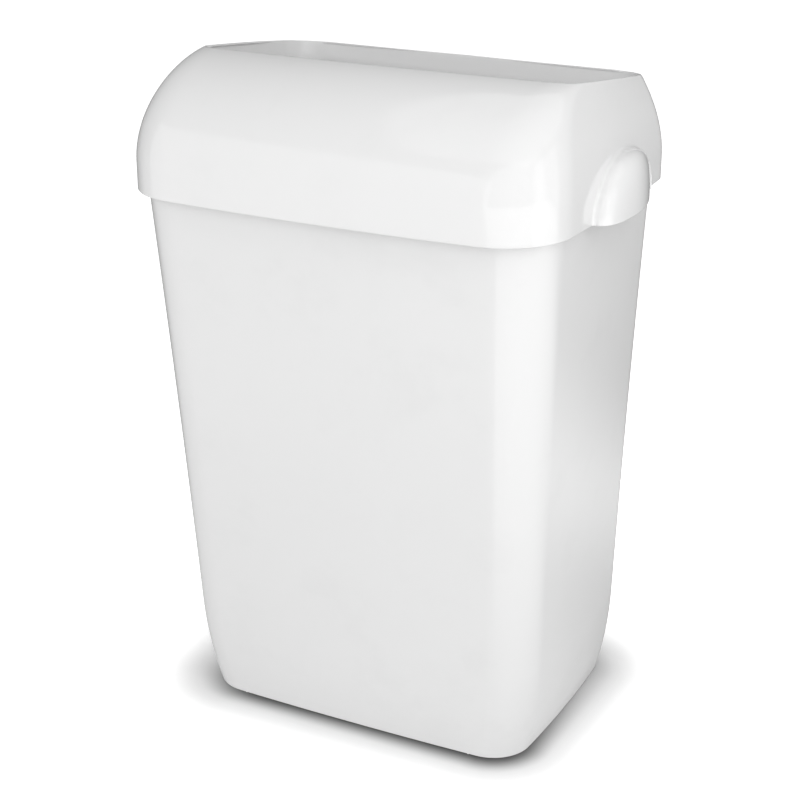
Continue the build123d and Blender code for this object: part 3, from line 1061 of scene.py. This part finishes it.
def grained_finish():
    """Matt moulded surface: an even fine grain over slow patches, with pale dust low down."""
    tree, given, result = new_group("grained finish", ("Gloss", "Drift", "Grain", "Dust"))
    place = given["Place"]
    grain = noise(tree, place, given["Grain"], 3.0, 0.6)
    patches = calculate(tree, "SUBTRACT", noise(tree, place, 90.0, 3.0), 0.5)
    low_down = ramp(tree, axis(tree, place, "Z"), 0.0, dust_height, 1.0, 0.0)
    dust = product(tree, low_down, grain, given["Dust"])
    shade = calculate(tree, "MULTIPLY_ADD", patches, given["Drift"], 1.0)
    shade = calculate(tree, "ADD", shade, dust)
    speck = calculate(tree, "MULTIPLY_ADD", calculate(tree, "SUBTRACT", grain, 0.5), 0.12, shade)
    rough = calculate(tree, "MULTIPLY_ADD", patches, 0.2, given["Gloss"])
    return finish_group(tree, result, given["Tint"], speck, rough, grain)


def drawn_finish():
    """Plated wire: shallow drawing lines along it, and slightly duller patches."""
    tree, given, result = new_group("drawn finish", ("Gloss", "Drift"))
    place = given["Place"]
    lines = streaks(tree, place, (60.0, 60.0, 2600.0))
    patches = noise(tree, place, 120.0, 4.0, 0.6)
    drift = calculate(tree, "SUBTRACT", patches, 0.5)
    shade = calculate(tree, "MULTIPLY_ADD", drift, given["Drift"], 1.0)
    dull = calculate(tree, "ADD", given["Gloss"], ramp(tree, patches, 0.45, 0.75, 0.0, 0.14))
    rough = calculate(tree, "MULTIPLY_ADD", lines, 0.08, dull)
    return finish_group(tree, result, given["Tint"], shade, rough, lines)


def new_material(name, group, colour, relief, fixed, **values):
    """A material whose colour, roughness and bump come from a finish.

    The relief is the bump's height in metres, and the fixed values go on the shader.
    """
    material = bpy.data.materials.new(name)
    material.use_nodes = True
    tree = material.node_tree
    shader = tree.nodes["Principled BSDF"]
    for socket_name, value in fixed.items():
        shader.inputs[socket_name].default_value = value
    place = tree.nodes.new("ShaderNodeTexCoord").outputs["Object"]
    finish = tree.nodes.new("ShaderNodeGroup")
    finish.node_tree = group
    for socket_name, value in {"Place": place, "Tint": (*colour, 1), **values}.items():
        give(tree, finish.inputs[socket_name], value)
    bump = add_node(
        tree, "ShaderNodeBump", Strength=1.0, Distance=relief, Height=finish.outputs["Relief"]
    )
    tree.links.new(finish.outputs["Colour"], shader.inputs["Base Color"])
    tree.links.new(finish.outputs["Roughness"], shader.inputs["Roughness"])
    tree.links.new(bump.outputs["Normal"], shader.inputs["Normal"])
    return material


tub_white = (0.81, 0.81, 0.81)
hood_white = (0.815, 0.815, 0.815)
wire_grey = (0.62, 0.62, 0.63)
clip_grey = (0.62, 0.64, 0.64)
rubber_grey = (0.12, 0.12, 0.12)
moulded = moulded_finish()
grained = grained_finish()
drawn = drawn_finish()
plastic = {"IOR": 1.5}
materials = {
    "tub_plastic": new_material(
        "tub white", moulded, tub_white, 0.02 * mm, plastic, Gloss=0.1, Drift=0.03, Wear=1.0
    ),
    "hood_plastic": new_material(
        "hood white", moulded, hood_white, 0.015 * mm, plastic, Gloss=0.09, Drift=0.02, Wear=0.7
    ),
    "ring_steel": new_material(
        "plated wire", drawn, wire_grey, 0.02 * mm, {"Metallic": 1.0}, Gloss=0.18, Drift=0.2
    ),
    "clip_plastic": new_material(
        "satin grey", grained, clip_grey, 0.02 * mm, plastic, Gloss=0.42, Drift=0.08, Grain=2200.0
    ),
    "foot_rubber": new_material(
        "matt rubber",
        grained,
        rubber_grey,
        0.05 * mm,
        {"IOR": 1.45},
        Gloss=0.85,
        Drift=0.3,
        Grain=1800.0,
        Dust=0.9,
    ),
}
for entry in frame["record"]["subparts"]:
    cad_mesh = frame["nodes"][entry["node"]].data
    cad_mesh.materials.clear()
    cad_mesh.materials.append(materials[entry["material_slot"]])
for slot, slot_pieces in pieces.items():
    for piece in slot_pieces:
        piece.data.materials.append(materials[slot])

# Camera, at the photograph's viewing angle
camera_turn = math.radians(27.52)
camera_tip = math.radians(21.49)
camera_place = (0.7077, -1.3476, 0.8902)
camera_lens = 81.98

camera_data = bpy.data.cameras.new("camera")
camera_data.lens = camera_lens
camera = bpy.data.objects.new("camera", camera_data)
camera.location = camera_place
camera.rotation_euler = (math.pi / 2 - camera_tip, 0, camera_turn)
bpy.context.scene.collection.objects.link(camera)
bpy.context.scene.camera = camera
bpy.context.scene.view_settings.view_transform = "Standard"


# Light: soft lamps at the front right, right, front left and overhead
def soft_lamp(name, azimuth, distance, height, width, tall, radiance, tip=0):
    """A flat lamp that faces the bin; the azimuth runs from the front towards the right."""
    turn = math.radians(azimuth)
    lamp_data = bpy.data.lights.new(name, "AREA")
    lamp_data.shape = "RECTANGLE"
    lamp_data.size = width
    lamp_data.size_y = tall
    lamp_data.energy = radiance * math.pi * width * tall
    lamp = bpy.data.objects.new(name, lamp_data)
    lamp.location = (distance * math.sin(turn), -distance * math.cos(turn), height)
    lamp.rotation_euler = (math.radians(90 - tip), 0, turn)
    lamp.visible_camera = False
    bpy.context.scene.collection.objects.link(lamp)


soft_lamp("key", azimuth=42, distance=1.25, height=0.95, width=2.2, tall=1.7, radiance=0.8)
soft_lamp("side", azimuth=84, distance=0.8, height=0.6, width=0.5, tall=0.8, radiance=0.95)
soft_lamp("fill", azimuth=-32, distance=1.4, height=0.75, width=2.2, tall=1.5, radiance=0.8)
soft_lamp(
    "overhead", azimuth=90, distance=0.5, height=1.9, width=2.2, tall=2.2, radiance=0.65, tip=90
)

# Room: white to the camera, pale to matt surfaces and dimmer to the gloss
ambient = 0.42
gloss_ambient = 0.15
world = bpy.data.worlds.new("studio")
bpy.context.scene.world = world
world.use_nodes = True
tree = world.node_tree
room = tree.nodes["Background"]
room.inputs["Color"].default_value = (1, 1, 1, 1)
rays = tree.nodes.new("ShaderNodeLightPath").outputs
seen = calculate(tree, "MAXIMUM", rays["Is Camera Ray"], rays["Is Transmission Ray"])
darker = calculate(tree, "MULTIPLY", rays["Is Glossy Ray"], gloss_ambient - ambient)
lighter = ramp(tree, seen, 0.0, 1.0, ambient, 1.0)
tree.links.new(calculate(tree, "ADD", lighter, darker), room.inputs["Strength"])

# Floor: a pale matt sheet. To the camera it glows white, with a painted shadow close to the bin's
# foot, most of all in front. To the gloss it has painted shade behind the bin, and a painted
# reflection glows on its right
floor_reach = 14
floor_corners = 96
floor_tone = (0.83, 0.85)
floor_roughness = 0.7
floor_shine = 0.1
floor_glow = 0.8
# The camera glow rises from nothing at the bin's foot over this reach, which paints a soft shadow
# round the foot
floor_glow_shadow_reach = 90 * mm
# Painted shadow at the foot: to the camera the floor's tone drops to this share at the foot and
# recovers over the reach, weaker behind and towards the left
foot_shadow_tone = 0.12
foot_shade_reach = (-4 * mm, 22 * mm)
foot_shade_back = (-100 * mm, 100 * mm)
foot_shade_left = (-175 * mm, -100 * mm)
foot_shade_share = 0.3
# Painted reflection: right of the bin the floor glows to the gloss only, though it is no lamp
painted_reflection_left = 165 * mm
painted_reflection_reach = (50 * mm, 500 * mm)
painted_reflection_glow = (0.1, 1.1)
painted_reflection_back = (300 * mm, 900 * mm)
# Painted shade in the floor's reflection: to the gloss the floor darkens behind the bin by up to
# this share
gloss_back = (-50 * mm, 350 * mm)
gloss_fade = 0.75


def foot_distance(tree, place):
    """How far a place on the floor is from the bin's foot, a rectangle with round corners."""
    front, back = tub_outline([base_rim_z], [0])[0][[-1, 0], 1]
    half_width = base_half_width - base_curl_side - base_front_radius
    half_depth = (back - front) / 2 - base_front_radius
    steps = (
        ("SUBTRACT", (0, (front + back) / 2, 0)),
        ("ABSOLUTE", None),
        ("SUBTRACT", (half_width, half_depth, 0)),
        ("MAXIMUM", (0, 0, 0)),
        ("LENGTH", None),
    )
    for operation, value in steps:
        step = vector_step(tree, operation, place, value)
        place = step.outputs[0]
    return calculate(tree, "SUBTRACT", step.outputs[1], base_front_radius)


turn = np.linspace(0, 2 * math.pi, floor_corners + 1)[:-1]
circle = floor_reach * np.stack([np.cos(turn), np.sin(turn), 0 * turn], axis=-1)
floor_mesh = bpy.data.meshes.new("floor")
floor_mesh.from_pydata(circle.tolist(), [], [list(range(floor_corners))])
floor = bpy.data.objects.new("floor", floor_mesh)
bpy.context.scene.collection.objects.link(floor)
paint = bpy.data.materials.new("pale floor")
paint.use_nodes = True
tree = paint.node_tree
shader = tree.nodes["Principled BSDF"]
shader.inputs["Roughness"].default_value = floor_roughness
shader.inputs["Specular IOR Level"].default_value = floor_shine
shader.inputs["Emission Color"].default_value = (1, 1, 1, 1)
place = tree.nodes.new("ShaderNodeTexCoord").outputs["Object"]
rays = tree.nodes.new("ShaderNodeLightPath").outputs
to_camera, to_gloss = rays["Is Camera Ray"], rays["Is Glossy Ray"]
right, back = axis(tree, place, "X"), axis(tree, place, "Y")
distance = foot_distance(tree, place)

tone = ramp(tree, noise(tree, place, 9.0, 4.0), 0.2, 0.8, *floor_tone)
# painted shade behind the bin, seen only in reflections
painted_gloss_shade = product(tree, ramp(tree, back, *gloss_back, 0.0, gloss_fade), to_gloss)
# painted contact shadow round the bin's foot, seen only by the camera, darkest in front
painted_foot_shadow = product(
    tree,
    ramp(tree, distance, *foot_shade_reach, 1 - foot_shadow_tone, 0.0),
    ramp(tree, back, *foot_shade_back, 1.0, foot_shade_share),
    ramp(tree, right, *foot_shade_left, foot_shade_share, 1.0),
    to_camera,
)
tone = product(
    tree,
    tone,
    calculate(tree, "SUBTRACT", 1.0, painted_gloss_shade),
    calculate(tree, "SUBTRACT", 1.0, painted_foot_shadow),
)
mixed = add_node(tree, "ShaderNodeCombineColor", Red=tone, Green=tone, Blue=tone)
tree.links.new(mixed.outputs["Color"], shader.inputs["Base Color"])

# White glow for the camera, fading to nothing at the bin's foot as a painted soft shadow
glow_and_foot_shadow = product(tree, ramp(tree, distance, 0.0, floor_glow_shadow_reach, 0.0, floor_glow), to_camera)
# painted reflection: a glowing patch right of the bin, seen only in the gloss, that lights the
# highlight on the bin's corner
painted_reflection = product(
    tree,
    ramp(tree, distance, *painted_reflection_reach, *painted_reflection_glow),
    calculate(tree, "GREATER_THAN", right, painted_reflection_left),
    ramp(tree, back, *painted_reflection_back, 1.0, 0.0),
    to_gloss,
)
tree.links.new(calculate(tree, "ADD", glow_and_foot_shadow, painted_reflection), shader.inputs["Emission Strength"])
floor_mesh.materials.append(paint)
